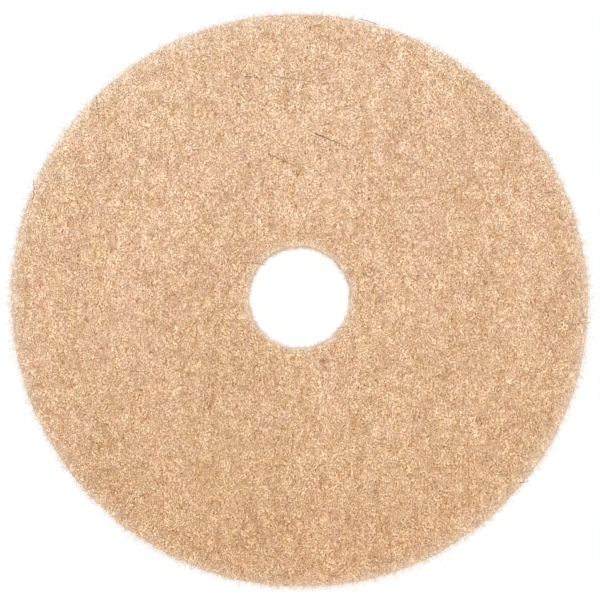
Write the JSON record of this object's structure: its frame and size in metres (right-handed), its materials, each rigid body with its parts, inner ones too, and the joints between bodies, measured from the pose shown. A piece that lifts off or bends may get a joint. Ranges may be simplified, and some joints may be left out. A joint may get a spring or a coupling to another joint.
{
  "type": "floor polishing pad",
  "caption": "Thick round pad of springy natural hair and polyester fibre web with a centre hole, driven by a floor machine to polish and burnish hard floors.",
  "frame": {"origin": "middle of the pad on the floor it lies on, at the foot of the bore's axis", "axes": "+Z up through the thickness, along the axis that the pad spins about; +X to the right and +Y up in the picture"},
  "size_m": [0.511, 0.5075, 0.025],
  "materials": {
    "fibre_web": "matte",
    "hog_hair": "matte"
  },
  "bodies": {
    "root": {"polishing_pad": "fibre_web"}
  },
  "joints": []
}
